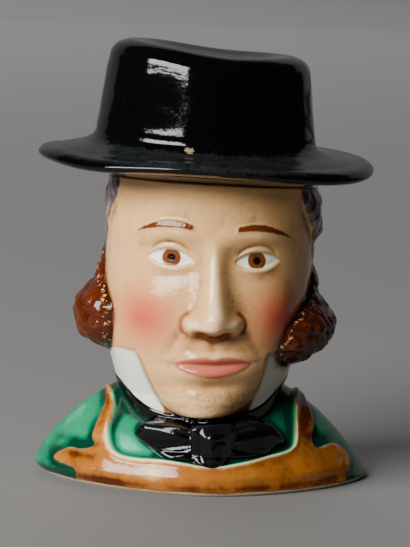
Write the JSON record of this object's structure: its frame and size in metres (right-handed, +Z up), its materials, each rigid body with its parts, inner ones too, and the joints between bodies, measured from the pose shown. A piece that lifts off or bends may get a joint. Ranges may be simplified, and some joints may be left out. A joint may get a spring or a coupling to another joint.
{
  "type": "figural tobacco jar",
  "caption": "Hollow glazed earthenware jar shaped as a bewhiskered head and bust, with a flat round hat as its lift-off lid.",
  "frame": {"origin": "centre of the flat underside of the bust's foot", "axes": "+Z up through the head, -Y the way the face looks, +X to the viewer's right from the front"},
  "size_m": [0.1587, 0.1548, 0.2045],
  "materials": {
    "bust_glaze": "glossy",
    "hat_glaze": "glossy"
  },
  "bodies": {
    "root": {"jar_body": "bust_glaze", "hat_lid": "hat_glaze"}
  },
  "joints": []
}
